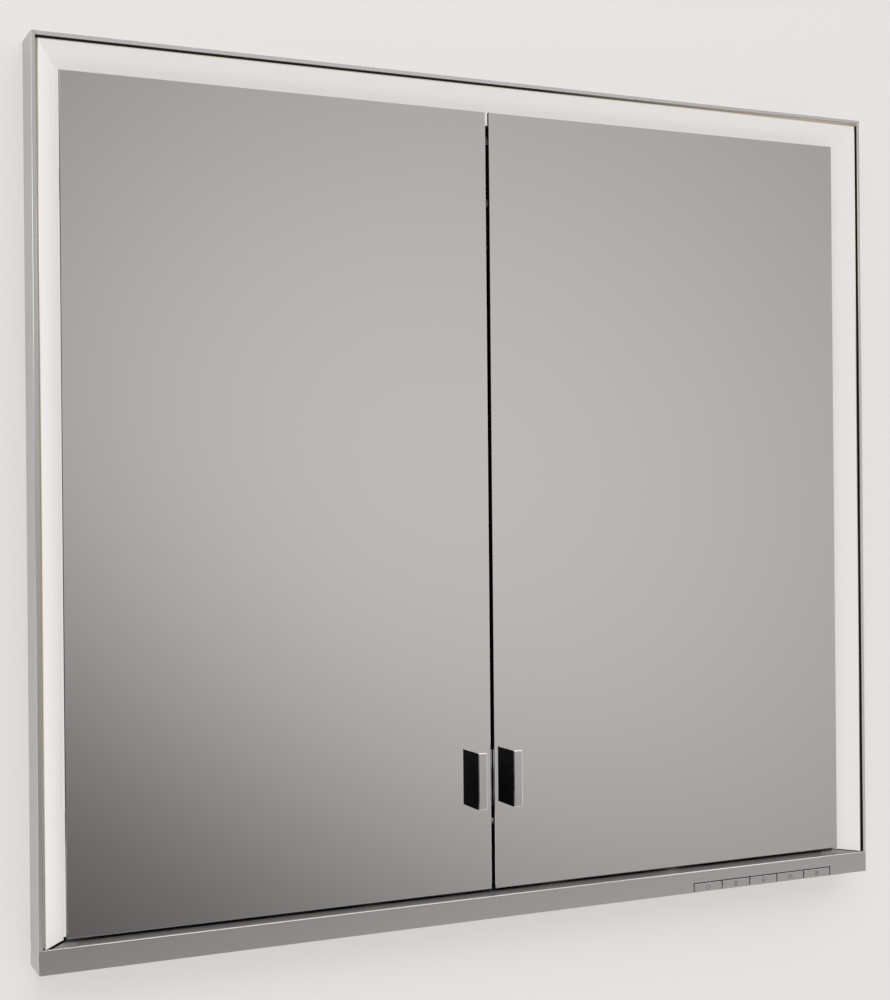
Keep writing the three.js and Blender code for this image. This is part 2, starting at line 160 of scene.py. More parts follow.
class CabinetStageSettings(bpy.types.PropertyGroup):
    """The wall panel, the floor, the light and the camera."""
    wall_colour: tint("Wall", "Colour of the wall panel", (0.30, 0.292, 0.29))
    wall_glow: FloatProperty(
        name="Wall glow", description="Even light of the wall panel", default=0.505, min=0.0)
    panel_half: length("Panel", "Half the width of the wall panel", 0.60)
    panel_thick: length("Panel thickness", "Thickness of the wall panel", 12.5 * MM)
    floor_drop: length("Floor", "Height of the cabinet above the floor", 1.10)
    camera_place: FloatVectorProperty(
        name="Camera", description="Place of the camera", default=(-0.63616, -1.31712, 0.36109),
        size=3, subtype="TRANSLATION")
    camera_yaw: FloatProperty(
        name="Camera turn", description="Turn of the camera to the right", default=math.radians(24.578),
        subtype="ANGLE")
    camera_roll: FloatProperty(
        name="Camera roll", description="Clockwise roll of the camera", default=math.radians(0.514),
        subtype="ANGLE")
    lens: FloatProperty(name="Lens", description="Focal length on a 36 mm long side", default=58.62)


SETTINGS = {
    "cabinet_frame": CabinetFrameSettings,
    "cabinet_light": CabinetLightSettings,
    "cabinet_door": CabinetDoorSettings,
    "cabinet_inside": CabinetInsideSettings,
    "cabinet_stage": CabinetStageSettings,
}


def looks(group):
    """The settings of one group, such as frame or door."""
    return getattr(bpy.context.scene, f"cabinet_{group}")


# ---- shader expressions

def operation(name, swapped=False):
    """A method that works out one Math node from a Term and another value, swapped if asked."""
    def method(term, other):
        pair = (other, term) if swapped else (term, other)
        return term.math(name, *pair)
    return method


class Term:
    """A socket in a shader tree. Arithmetic on it adds the Math nodes that work it out."""

    def __init__(self, tree, socket):
        self.tree = tree
        self.socket = socket

    def math(self, operation, *values):
        return add_node(self.tree, "ShaderNodeMath", {"operation": operation}, values)

    def __abs__(self):
        return self.math("ABSOLUTE", self)

    def exp(self):
        return self.math("EXPONENT", self)

    __add__ = __radd__ = operation("ADD")
    __mul__ = __rmul__ = operation("MULTIPLY")
    __sub__ = operation("SUBTRACT")
    __rsub__ = operation("SUBTRACT", swapped=True)
    __truediv__ = operation("DIVIDE")
    __rtruediv__ = operation("DIVIDE", swapped=True)
    __gt__ = operation("GREATER_THAN")
    __lt__ = operation("LESS_THAN")
    least = operation("MINIMUM")
    most = operation("MAXIMUM")


def feed(tree, socket, value):
    """Links a Term to a socket, or sets the socket to a plain value."""
    if isinstance(value, Term):
        tree.links.new(value.socket, socket)
    elif isinstance(value, (tuple, list)) and socket.type == "RGBA" and len(value) == 3:
        socket.default_value = (*value, 1.0)
    else:
        socket.default_value = value


def add_node(tree, kind, settings=None, values=(), output=0):
    """Adds one node: its settings first, then its inputs by place or by name."""
    node = tree.nodes.new(kind)
    for key, setting in (settings or {}).items():
        setattr(node, key, setting)
    named = values.items() if isinstance(values, dict) else enumerate(values)
    for key, value in named:
        feed(tree, node.inputs[key], value)
    return Term(tree, node.outputs[output])


def coordinates(tree, output):
    """One output of a Texture Coordinate node as three Terms."""
    vector = add_node(tree, "ShaderNodeTexCoord", output=output)
    parts = tree.nodes.new("ShaderNodeSeparateXYZ")
    feed(tree, parts.inputs[0], vector)
    return [Term(tree, socket) for socket in parts.outputs]


def ramp(value, start, run):
    """A straight rise from 0 at the start to 1 at the end of the run."""
    return ((value - start) / run).most(0.0).least(1.0)


class Finish:
    """One material: a Principled shader and short ways to feed it."""

    def __init__(self, name, **fixed):
        self.material = bpy.data.materials.new(name)
        self.material.use_nodes = True
        self.tree = self.material.node_tree
        self.shader = self.tree.nodes["Principled BSDF"]
        for socket, value in fixed.items():
            self.set(socket.replace("_", " ").title().replace("Ior", "IOR"), value)

    def set(self, socket, value):
        feed(self.tree, self.shader.inputs[socket], value)

    def place(self):
        """The point on the piece as three Terms."""
        return coordinates(self.tree, "Object")

    def noise(self, scale, detail=3.0, stretch=(1, 1, 1)):
        """Smooth noise between 0 and 1, drawn out along the axes whose stretch is small."""
        vector = add_node(self.tree, "ShaderNodeTexCoord", output="Object")
        multiply = {"operation": "MULTIPLY"}
        scaled = add_node(self.tree, "ShaderNodeVectorMath", multiply, (vector, stretch))
        values = {"Vector": scaled, "Scale": scale, "Detail": detail}
        return add_node(self.tree, "ShaderNodeTexNoise", values=values)

    def mix(self, factor, first, second):
        """A colour between two, by a factor from 0 to 1."""
        node = self.tree.nodes.new("ShaderNodeMix")
        node.data_type = "RGBA"
        for socket, value in (("Factor_Float", factor), ("A_Color", first), ("B_Color", second)):
            target = next(s for s in node.inputs if s.identifier == socket)
            feed(self.tree, target, value)
        result = next(s for s in node.outputs if s.identifier == "Result_Color")
        return Term(self.tree, result)

    def vary(self, factor, colour, amount):
        """A colour that runs from a share darker to the same share lighter."""
        return self.mix(factor, shade(colour, -amount), shade(colour, amount))

    def done(self, colour, roughness):
        """Feeds the colour and the roughness, and gives the material."""
        self.set("Base Color", colour)
        self.set("Roughness", roughness)
        return self.material

    def bump(self, height, strength, distance):
        values = {"Height": height, "Strength": strength, "Distance": distance}
        self.set("Normal", add_node(self.tree, "ShaderNodeBump", values=values))


def shade(colour, amount):
    """A colour made lighter or darker by a share."""
    return tuple(min(1.0, c * (1 + amount)) for c in colour)


# ---- materials

def metal_finish(name, painted_lift=0.0):
    """Satin anodised aluminium with a fine even grain, made lighter by a share as painted light on faces
    that stand in the light. Gives the finish, its colour and its grain."""
    look = looks("frame")
    finish = Finish(name, specular_ior_level=0.2)
    grain = finish.noise(2600, 2)
    cloud = finish.noise(14, 2)
    spread = 0.06
    darker = shade(look.colour, painted_lift - spread)
    lighter = shade(look.colour, painted_lift + spread)
    colour = finish.mix(grain * 0.5 + cloud * 0.5, darker, lighter)
    finish.bump(grain, 0.12, 0.02 * MM)
    return finish, colour, grain


def finish_metal(finish, colour, grain, dark, metallic=1.0):
    """Feeds the shader with the metal's colour and with painted black shade where dark is 1."""
    look = looks("frame")
    finish.set("Metallic", metallic * (1 - dark))
    roughness = look.roughness - 0.04 + grain * 0.08 + dark * 0.4
    return finish.done(finish.mix(dark, colour, (0.005, 0.005, 0.005)), roughness)


def rail_metal():
    """The side and top rails: painted light on a brighter lip, painted black shade on the groove's outer
    wall, and a warm painted glow where light leaks past the band's holder. Along the top, more of the
    groove glows towards the right."""
    look = looks("frame")
    finish, colour, grain = metal_finish("satin_anodised")
    x, y, z = finish.place()
    from_top = TOP - z
    inwards = (HALF - abs(x)).least(from_top)
    # Painted light: the lip's front face is painted much brighter than the rest of the rail
    lip_face = (y < FRONT + 2 * LEAF) * (inwards < look.lip - SKIN)
    colour = finish.mix(lip_face, colour, look.lip_light[:])
    groove_end = FRONT + look.groove + 3 * MM
    deep = (y > FRONT + SKIN) * (y < groove_end) * (z > LEDGE - HAIR)
    holder_end = look.web + look.web_thick + SKIN
    holder = deep * (inwards > look.lip + LEAF) * (inwards < holder_end)
    # Painted reflection: along the top, the groove's wall is painted with the warm glow in place of black
    # further to the right
    fading = ramp(x, 50 * MM, 280 * MM) * (from_top < look.web)
    # Painted shade: the lip's inner face in the groove is painted black
    groove_shade = deep * (inwards > look.lip - HAIR) * (inwards < look.lip + LEAF)
    lit = holder.most(groove_shade * fading)
    colour = finish.mix(lit, colour, look.leak_glow[:])
    # Painted glow: the holder and the top groove give off light of their own though they are no lamp
    finish.set("Emission Color", finish.mix(lit, (0.0, 0.0, 0.0), look.leak_glow[:]))
    finish.set("Emission Strength", 0.4)
    return finish_metal(finish, colour, grain, groove_shade * (1 - fading))


def ledge_metal():
    """The bottom rail: painted light on a brighter front face, painted shade on a darker ledge on top, and
    painted black shade inside the hollow rail.
    """
    look = looks("frame")
    finish, colour, grain = metal_finish("satin_anodised_rail")
    x, y, z = finish.place()
    # Painted light: the bottom rail's front face is painted lighter than the rest of the rail
    face = finish.mix(grain, shade(look.colour, 0.22), shade(look.colour, 0.34))
    colour = finish.mix(y < FRONT + 0.4 * MM, colour, face)
    # Painted shade: the ledge on top is painted dark and given little gloss
    ledge = (z > LEDGE - 0.15 * MM) * (y > FRONT + look.ledge_arris)
    colour = finish.mix(ledge, colour, look.ledge_shade[:])
    # Painted shade: the inside of the hollow rail is painted black
    rear = -2.2 * MM
    inside = (y > FRONT + 0.25 * MM) * (z > BOTTOM + LEAF) * (z < LEDGE - LEAF)
    inside = inside * (abs(x) < HALF - LEAF) * (y < rear)
    return finish_metal(finish, colour, grain, inside, 1 - ledge * 0.9)


def key_metal():
    """The keys: the rail's metal, painted lighter on their faces as painted light, and painted black shade
    on their flanks.
    """
    # Painted light: the keys' faces are painted lighter than the rail's metal
    finish, colour, grain = metal_finish("satin_anodised_key", 0.24)
    _, y, _ = finish.place()
    # Painted shade: the keys' flanks, in the gaps between the keys, are painted black
    return finish_metal(finish, colour, grain, y > FRONT + 0.35 * MM)


def plain_metal():
    """The same metal without painted shade."""
    return finish_metal(*metal_finish("satin_anodised_plain"), 0.0)


def opal_sheet():
    """Satin opal acrylic, evenly lit from behind. Its lower ends under the doors are painted black and
    unlit as painted shade.
    """
    look = looks("light")
    finish = Finish("opal_acrylic")
    cloud = finish.noise(9, 2)
    grain = finish.noise(1800, 2)
    x, y, z = finish.place()
    door_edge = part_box("right_door_front_mirror")[1].x
    painted_shade_top = LEDGE + 2.7 * MM
    painted_shade_side = door_edge + 0.5 * MM
    # Painted shade: the band's lower ends under the doors are painted black and unlit
    stop = (z < painted_shade_top) * (abs(x) < painted_shade_side) * (y > BAND_FLAT - 0.6 * MM)
    opal = finish.vary(cloud, look.colour, 0.02)
    light = finish.mix(cloud, shade(look.light, -0.02), look.light[:])
    finish.set("Emission Color", finish.mix(stop, light, (0.0, 0.0, 0.0)))
    finish.set("Emission Strength", look.glow)
    finish.bump(grain, 0.05, 0.02 * MM)
    return finish.done(finish.mix(stop, opal, (0.01, 0.01, 0.01)), 0.38 + grain * 0.1)


def silvered_glass(name, front, back):
    """A mirror between two planes of constant y: bright on its faces, dark and ground on its edges."""
    look = looks("door")
    finish = Finish(name, specular_ior_level=0.1)
    _, y, _ = finish.place()
    film = finish.noise(6, 3)
    grain = finish.noise(1500, 2)
    film_thick = 0.04 * MM
    edge = (y > front + film_thick) * (y < back - film_thick)
    silver = finish.vary(film, look.silver, 0.006)
    finish.set("Metallic", 1 - edge)
    roughness = 0.008 + film * 0.01 + edge * (0.35 + grain * 0.2)
    return finish.done(finish.mix(edge, silver, look.edge[:]), roughness)


def polished_chrome():
    """Polished chrome with a faint unevenness in its gloss."""
    look = looks("door")
    finish = Finish("polished_chrome", metallic=1.0)
    film = finish.noise(220, 3)
    return finish.done(finish.vary(film, look.chrome, 0.02), 0.015 + film * 0.02)


def brushed_sheet():
    """Aluminium sheet with a fine grain along its length."""
    look = looks("inside")
    finish = Finish("aluminium_sheet", metallic=1.0)
    grain = finish.noise(1400, 3, (0.02, 1, 1))
    cloud = finish.noise(5, 3)
    patch = grain * 0.6 + cloud * 0.4
    colour = finish.mix(patch, shade(look.sheet, -0.12), shade(look.sheet, 0.10))
    finish.bump(grain, 0.15, 0.03 * MM)
    return finish.done(colour, 0.36 + grain * 0.14)


def brushed_steel(name="satin_steel", dim=0.0):
    """Satin stainless steel for the hinges and the clips, made darker by the share in dim."""
    finish = Finish(name, metallic=1.0)
    grain = finish.noise(1600, 3, (1, 1, 0.05))
    darker = shade((0.46, 0.46, 0.47), -dim)
    lighter = shade((0.60, 0.60, 0.61), -dim)
    finish.bump(grain, 0.12, 0.02 * MM)
    return finish.done(finish.mix(grain, darker, lighter), 0.24 + grain * 0.16)


def clear_glass():
    """Clear toughened glass with a slight green cast."""
    look = looks("inside")
    finish = Finish("shelf_glass", transmission_weight=1.0, ior=1.5)
    film = finish.noise(12, 3)
    colour = finish.mix(film, shade(look.glass, -0.01), look.glass[:])
    return finish.done(colour, 0.01 + film * 0.012)


def moulded_plastic(name, colour, roughness, grain_size=1200):
    """Moulded plastic with a fine spark-eroded grain."""
    finish = Finish(name)
    grain = finish.noise(grain_size, 3)
    finish.bump(grain, 0.08, 0.03 * MM)
    return finish.done(finish.vary(grain, colour, 0.04), roughness + grain * 0.08)


def lamp_tape():
    """White lamp tape with a lit emitter every few millimetres."""
    finish = Finish("lamp_tape")
    x, _, z = finish.place()
    pitch = 8.3 * MM
    beat = abs(x.math("PINGPONG", x + z, pitch)) / pitch
    return finish.done(finish.mix(beat > 0.7, (0.85, 0.85, 0.82), (0.95, 0.85, 0.45)), 0.5)


def solder_mask():
    """Green solder mask with paler tracks."""
    finish = Finish("solder_mask")
    tracks = finish.noise(260, 1, (1, 1, 0.2)) > 0.56
    colour = finish.mix(tracks, (0.02, 0.13, 0.06), (0.06, 0.26, 0.12))
    return finish.done(colour, 0.35 + tracks * 0.1)


# ---- surfaces

def arcs(corners, cutback, steps=5):
    """Rounds a closed outline. Corner P, with unit vectors a and b to its neighbours, becomes the curve
    P + t((1 - s)^2 a + s^2 b) for s from 0 to 1, where t is the corner's cutback."""
    point = np.asarray(corners, float)
    before = np.roll(point, 1, axis=0) - point
    after = np.roll(point, -1, axis=0) - point
    before /= np.linalg.norm(before, axis=1, keepdims=True)
    after /= np.linalg.norm(after, axis=1, keepdims=True)
    t = np.broadcast_to(np.asarray(cutback, float), len(point))[:, None, None]
    s = np.linspace(0, 1, steps + 1)[None, :, None]
    curve = point[:, None] + t * ((1 - s) ** 2 * before[:, None] + s ** 2 * after[:, None])
    return curve.reshape(-1, 2)


def side_faces(stations, count):
    """Four-sided faces between neighbouring rings of points. Each joins points j and j + 1 of ring k to the
    same two points of ring k + 1."""
    k = np.arange(stations - 1)[:, None] * count
    j = np.arange(count)[None, :]
    onward = (j + 1) % count
    return np.stack([k + j, k + onward, k + count + onward, k + count + j], axis=-1).reshape(-1, 4)


def loft(name, rings, material, fine=0.7 * MM):
    """A closed surface through rings, where rings[k, j] is point j of the outline at station k. Four-sided
    faces join neighbours, and a flat face closes each end. Narrow faces are smooth, and wide ones flat."""
    stations, count, _ = rings.shape
    quads = side_faces(stations, count)
    caps = [list(range(count))[::-1], list(range((stations - 1) * count, stations * count))]
    points = rings.reshape(-1, 3)
    sides = np.linalg.norm(points[np.roll(quads, -1, axis=1)] - points[quads], axis=2)
    smooth = np.append(sides.min(axis=1) < fine, [False, False])
    return finished(name, points.tolist(), quads.tolist() + caps, material, smooth)


def finished(name, points, faces, material, smooth=None):
    """An object at the origin from points and faces. The faces are made to point outwards."""
    mesh = bpy.data.meshes.new(name)
    mesh.from_pydata(points, [], faces)
    if smooth is not None:
        mesh.polygons.foreach_set("use_smooth", smooth)
    mesh.validate()
    work = bmesh.new()
    work.from_mesh(mesh)
    bmesh.ops.recalc_face_normals(work, faces=work.faces)
    work.to_mesh(mesh)
    work.free()
    mesh.materials.append(material)
    piece = bpy.data.objects.new(name, mesh)
    bpy.context.scene.collection.objects.link(piece)
    return piece


def rounded_block(name, low, high, edge, material, steps=4):
    """A block with rounded edges. Its rounded rectangle is carried up z and is drawn in near each end by
    r(1 - sin a) at a height of r(1 - cos a), as a runs over a quarter turn."""
    low, high = np.array(low, float), np.array(high, float)
    a = np.linspace(0, math.pi / 2, steps + 1)
    inset = edge * (1 - np.sin(a))
    rise = edge * (1 - np.cos(a))
    insets = np.concatenate([inset, inset[::-1]])
    heights = np.concatenate([low[2] + rise, high[2] - rise[::-1]])
    middle = (low[:2] + high[:2]) / 2
    half = (high[:2] - low[:2]) / 2
    sharpest = 0.1 * edge
    outlines = np.array([
        arcs(middle + CORNERS * (half - i), max(edge - i, sharpest), steps) for i in insets])
    rings = np.dstack([outlines, np.broadcast_to(heights[:, None], outlines.shape[:2])])
    return loft(name, rings, material)


def upright(outline, low, high):
    """Two rings that carry an outline in x and y from one height to another."""
    heights = np.array([low, high], float)[:, None]
    flat = np.broadcast_to(outline, (2, *outline.shape))
    return np.dstack([flat, np.broadcast_to(heights, flat.shape[:2])])


def rail_rings(section, hand, low, seam=0.1 * MM):
    """A frame section carried up one side or along the top. Its u runs inwards from the outer edge, and a
    mitred end is shorter by u."""
    u, v = section[:, 0], section[:, 1]
    if hand == "top":
        ends = [(sign * (HALF - u - seam), v, TOP - u) for sign in (-1, 1)]
    else:
        x = HANDS[hand] * (HALF - u)
        ends = [(x, v, np.full_like(u, low)), (x, v, TOP - u - seam)]
    return np.array([np.stack(end, axis=1) for end in ends])


def carve(piece, tools, operation="DIFFERENCE"):
    """Cuts tools out of a piece, or joins them to it, and keeps the plain result."""
    for tool in tools:
        modifier = piece.modifiers.new("carve", "BOOLEAN")
        modifier.operation = operation
        modifier.object = tool
        modifier.solver = "EXACT"
    graph = bpy.context.evaluated_depsgraph_get()
    mesh = bpy.data.meshes.new_from_object(piece.evaluated_get(graph))
    piece.modifiers.clear()
    piece.data = mesh
    for tool in tools:
        bpy.data.objects.remove(tool)
    return piece


def plain_box(low, high):
    """A tool with six flat faces for carving."""
    corners = np.array([
        (low[0], low[1]), (high[0], low[1]), (high[0], high[1]), (low[0], high[1])])
    return loft("tool", upright(corners, low[2], high[2]), None)


def domes(name, centres, radius, height, axis_sign, material, around=14, up=4):
    """Low round heads on a wall of constant y. Each is r cos(a) wide and h sin(a) high as a rises over a
    quarter turn, and a flat face closes it against the wall."""
    turn = np.linspace(0, 2 * math.pi, around, endpoint=False)
    rise = np.linspace(0, math.pi / 2 * 0.86, up)
    ring = np.stack([
        np.cos(rise)[:, None] * np.cos(turn) * radius,
        np.broadcast_to((np.sin(rise) * height * axis_sign)[:, None], (up, around)),
        np.cos(rise)[:, None] * np.sin(turn) * radius,
    ], axis=-1)
    points = (np.asarray(centres, float)[:, None, None] + ring[None]).reshape(-1, 3)
    quads = side_faces(up, around)
    caps = np.array([np.arange(around)[::-1], (up - 1) * around + np.arange(around)])
    offset = np.arange(len(centres))[:, None, None] * up * around
    faces = (quads[None] + offset).reshape(-1, 4).tolist()
    faces += (caps[None] + offset).reshape(-1, around).tolist()
    smooth = np.arange(len(faces)) < len(quads) * len(centres)
    return finished(name, points.tolist(), faces, material, smooth)


def belongs(piece, body, slot, *nodes):
    """Puts a piece on its body and hides the plain solids that it stands for. The slot is not used."""
    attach(piece, body)
    if nodes:
        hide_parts(*nodes)
    return piece


def dress(material, *names):
    """Gives CAD nodes whose shape is right their material."""
    for name in names:
        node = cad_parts[name]
        node.data.materials.clear()
        node.data.materials.append(material)


# ---- frame

def rail_section():
    """The outline of the side and top rails, from the lip round to the wall flange."""
    look = looks("frame")
    web_inner = look.web + look.web_thick
    groove_floor = FRONT + look.groove
    bridge_back = groove_floor + 2 * MM
    flange_front = -2 * MM
    corners = [
        (0, FRONT), (look.lip, FRONT), (look.lip, groove_floor), (look.web, groove_floor),
        (look.web, WEB_FRONT), (web_inner, WEB_FRONT), (web_inner, bridge_back), (look.wall, bridge_back),
        (look.wall, flange_front), (look.flange, flange_front), (look.flange, 0), (0, 0),
    ]
    cutbacks = [look.arris / MM, 0.3, 0.2, 0.2, 0.15, 0.15] + [0.2] * 6
    return arcs(corners, np.array(cutbacks) * MM)


class CABINET_OT_rails(bpy.types.Operator):
    """Makes the left, right and top rails of the frame."""
    bl_idname = "cabinet.rails"
    bl_label = "Side and top rails"

    def execute(self, context):
        material = rail_metal()
        section = rail_section()
        low = LEDGE - looks("frame").ledge_arris
        for hand in SIDES:
            rail = loft(f"frame_rail_{hand}", rail_rings(section, hand, low), material)
            belongs(rail, "cabinet", "frame_aluminium", f"frame_{hand}")
        return {"FINISHED"}


def ledge_gap_tool(side):
    """A prism that opens the slanted gap between the ledge's end and the light band."""
    band = looks("light")
    gap = 4.8 * MM
    deep = 3.2 * MM
    corners = [
        (side * (HALF - band.outer), WEB_FRONT), (side * (HALF - band.outer - gap), WEB_FRONT),
        (side * (HALF - band.bend - gap), BAND_FLAT), (side * (HALF - band.bend), BAND_FLAT),
    ]
    return loft("tool", upright(np.array(corners), LEDGE - deep, LEDGE + MM), None)


class CABINET_OT_bottom_rail(bpy.types.Operator):
    """Makes the bottom rail: a hollow section with a rounded front edge and the keys' opening."""
    bl_idname = "cabinet.bottom_rail"
    bl_label = "Bottom rail"

    def execute(self, context):
        look = looks("frame")
        step = 1.5 * MM
        corners = [
            (FRONT, BOTTOM), (0, BOTTOM), (0, BOTTOM + look.flange), (-step, BOTTOM + look.flange),
            (-step, LEDGE), (FRONT, LEDGE),
        ]
        corner = 0.2 * MM
        cutbacks = np.array([look.arris] + [corner] * 4 + [look.ledge_arris])
        outline = arcs(corners, cutbacks, 6)
        end_gap = 0.03 * MM
        chamfer = 0.4 * MM
        half = HALF - end_gap
        ends = np.array([-half, -half + chamfer, half - chamfer, half])
        middle = outline.mean(axis=0)
        draw_in = np.array([chamfer, 0, 0, chamfer])[:, None, None]
        flat = outline[None] - np.sign(outline - middle)[None] * draw_in
        along = np.broadcast_to(ends[:, None], flat.shape[:2])
        rings = np.stack([along, flat[..., 0], flat[..., 1]], axis=-1)
        rail = loft("frame_rail_bottom", rings, ledge_metal())
        wall = 1.6 * MM
        groove = 1.0 * MM
        key_room = 8.5 * MM
        first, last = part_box(KEYS[0])[0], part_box(KEYS[-1])[1]
        hollow = plain_box(
            (-HALF + wall, FRONT + wall, BOTTOM + wall), (HALF - wall, -step - wall, LEDGE - wall))
        opening = plain_box(
            (first.x - groove, FRONT - wall, BOTTOM - wall),
            (last.x + groove, FRONT + key_room, last.z + groove))
        carve(rail, [hollow, opening, ledge_gap_tool(-1), ledge_gap_tool(1)])
        belongs(rail, "cabinet", "frame_aluminium", "frame_bottom")
        return {"FINISHED"}


# ---- light band

def band_section():
    """The outline of the opal sheet: a splayed face from the lip inwards, then a flat strip."""
    band = looks("light")
    front = FRONT + band.setback
    slope = (BAND_FLAT - front) / (band.bend - band.outer)
    leg = band.thick * math.hypot(1, slope)
    back = BAND_FLAT + band.thick
    inner_bend = band.outer + (back - front - leg) / slope
    corners = [
        (band.outer, front), (band.bend, BAND_FLAT), (band.inner, BAND_FLAT), (band.inner, back),
        (inner_bend, back), (band.outer, front + leg),
    ]
    return arcs(corners, np.array([0.25, 1.6, 0.3, 0.3, 1.2, 0.25]) * MM)


class CABINET_OT_light_band(bpy.types.Operator):
    """Makes the lit band on three sides, with slots for the hinge arms, and dresses the lamps behind it."""
    bl_idname = "cabinet.light_band"
    bl_label = "Light band"

    def execute(self, context):
        material = opal_sheet()
        section = band_section()
        for hand in SIDES:
            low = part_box(f"light_band_{hand}")[0].z
            band = loft(f"light_band_sheet_{hand}", rail_rings(section, hand, low), material, 0.9 * MM)
            if hand != "top":
                carve(band, [hinge_slot_tool(hand, level) for level in LEVELS])
            belongs(band, "cabinet", "light_band_opal", f"light_band_{hand}")
        dress(brushed_sheet(), *[f"light_channel_{hand}" for hand in SIDES])
        dress(lamp_tape(), *[f"lamp_strip_{hand}" for hand in SIDES])
        return {"FINISHED"}


def hinge_slot_tool(hand, level):
    """A block that opens the light band for one hinge arm."""
    low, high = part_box(f"{hand}_hinge_{level}_bracket")
    middle = (low.z + high.z) / 2
    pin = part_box(f"{hand}_hinge_{level}_pin")
    axis = (pin[0].x + pin[1].x) / 2
    tall = 6.5 * MM
    wide = 1.1 * MM
    front = -15 * MM
    back = -9 * MM
    return plain_box((axis - wide, front, middle - tall), (axis + wide, back, middle + tall))


# ---- doors

class CABINET_OT_doors(bpy.types.Operator):
    """Makes both panes of each door with ground edges, and cuts the rear panes round the hinges."""
    bl_idname = "cabinet.doors"
    bl_label = "Doors"

    def execute(self, context):
        edge = looks("door").seam
        low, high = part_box("left_door_front_mirror")
        rear_low, rear_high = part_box("left_door_rear_mirror")
        glasses = {
            "front": silvered_glass("front_mirror_glass", low.y, high.y + MM),
            "rear": silvered_glass("rear_mirror_glass", rear_low.y - MM, rear_high.y),
        }
        for hand in HANDS:
            for layer, glass in glasses.items():
                node = f"{hand}_door_{layer}_mirror"
                pane = rounded_block(f"{hand}_door_{layer}_pane", *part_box(node), edge, glass)
                if layer == "rear":
                    carve(pane, [leaf_notch_tool(hand, level) for level in LEVELS])
                belongs(pane, f"{hand}_door", "door_mirror", node)
        return {"FINISHED"}


def leaf_notch_tool(hand, level):
    """A block that clears a hinge leaf from the rear pane's outer edge."""
    low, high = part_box(f"{hand}_hinge_{level}_leaf")
    room = MM
    past_edge = 5 * MM
    front = -25 * MM
    back = -15 * MM
    left, right = (past_edge, room) if hand == "left" else (room, past_edge)
    return plain_box((low.x - left, front, low.z - room), (high.x + right, back, high.z + room))


def clip_rings(low, high, side):
    """The thin angle that wraps the door's free edge: one short leg along y, one long leg along x."""
    thick = 0.6 * MM
    near, far = sorted((abs(low.x), abs(high.x)))
    corners = [
        (near, low.y), (near + thick, low.y), (near + thick, high.y - thick),
        (far, high.y - thick), (far, high.y), (near, high.y),
    ]
    outline = arcs(corners, np.array([0.15, 0.15, 0.15, 0.15, 0.15, 0.3]) * MM)
    return upright(outline * (side, 1), low.z, high.z)


def grip_rings(low, high, edge, steps=5):
    """A bar that stands on the glass. Its rectangle is carried forward along y, and near the front it is
    drawn in by r(1 - sin a) at a distance of r(1 - cos a) from the front, as a runs over a quarter turn."""
    a = np.linspace(0, math.pi / 2, steps + 1)
    inset = np.append(edge * (1 - np.sin(a)), 0)
    depth = np.append(low.y + edge * (1 - np.cos(a)), high.y)
    middle = np.array([low.x + high.x, low.z + high.z]) / 2
    half = np.array([high.x - low.x, high.z - low.z]) / 2
    outlines = np.array([arcs(middle + CORNERS * (half - i), 0.2 * edge, 3) for i in inset])
    depths = np.broadcast_to(depth[:, None], outlines.shape[:2])
    return np.stack([outlines[..., 0], depths, outlines[..., 1]], axis=-1)


class CABINET_OT_grips(bpy.types.Operator):
    """Makes the polished grips and the clips that wrap the doors' free edges."""
    bl_idname = "cabinet.grips"
    bl_label = "Grips"

    def execute(self, context):
        edge = looks("door").grip_edge
        material = polished_chrome()
        steel = brushed_steel("clip_steel", 0.5)
        for hand, side in HANDS.items():
            grip = loft(f"{hand}_grip", grip_rings(*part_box(f"{hand}_handle"), edge), material)
            belongs(grip, f"{hand}_door", "handle_chrome", f"{hand}_handle")
            low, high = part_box(f"{hand}_handle_clip")
            clip = loft(f"{hand}_grip_clip", clip_rings(low, high, side), steel)
            belongs(clip, f"{hand}_door", "handle_chrome", f"{hand}_handle_clip")
        return {"FINISHED"}


class CABINET_OT_hinges(bpy.types.Operator):
    """Dresses the hinges in satin steel and puts two rivet heads on each leaf."""
    bl_idname = "cabinet.hinges"
    bl_label = "Hinges"

    def execute(self, context):
        parts = ("bracket", "leaf", "pin")
        names = [f"{hand}_hinge_{level}_{part}" for hand in HANDS for level in LEVELS for part in parts]
        steel = brushed_steel()
        dress(steel, *names)
        rivet = 1.7 * MM
        height = 0.6 * MM
        from_end = 5 * MM
        plate = 1.2 * MM
        for hand, side in HANDS.items():
            for level in LEVELS:
                low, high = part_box(f"{hand}_hinge_{level}_leaf")
                x = low.x + from_end if side > 0 else high.x - from_end
                spots = [(x, low.y + plate, z) for z in (low.z + from_end, high.z - from_end)]
                heads = domes(f"{hand}_hinge_{level}_rivets", spots, rivet, height, 1, steel)
                belongs(heads, f"{hand}_door", "hinge_steel")
        return {"FINISHED"}


# ---- keys

def ribbon(path, width, closed):
    """Both edges of a flat line of even width: the path moved half the width along its normals."""
    path = np.asarray(path, float)
    if closed:
        along = np.roll(path, -1, axis=0) - np.roll(path, 1, axis=0)
    else:
        along = np.gradient(path, axis=0)
    along /= np.linalg.norm(along, axis=1, keepdims=True)
    normal = np.stack([-along[:, 1], along[:, 0]], axis=1) * width / 2
    return path - normal, path + normal


def arc_path(radius, start, stop, count=20, centre=(0, 0)):
    """Points on a circle from one angle to another, in degrees."""
    angle = np.radians(np.linspace(start, stop, count))
    return np.stack([np.cos(angle), np.sin(angle)], axis=1) * radius + centre


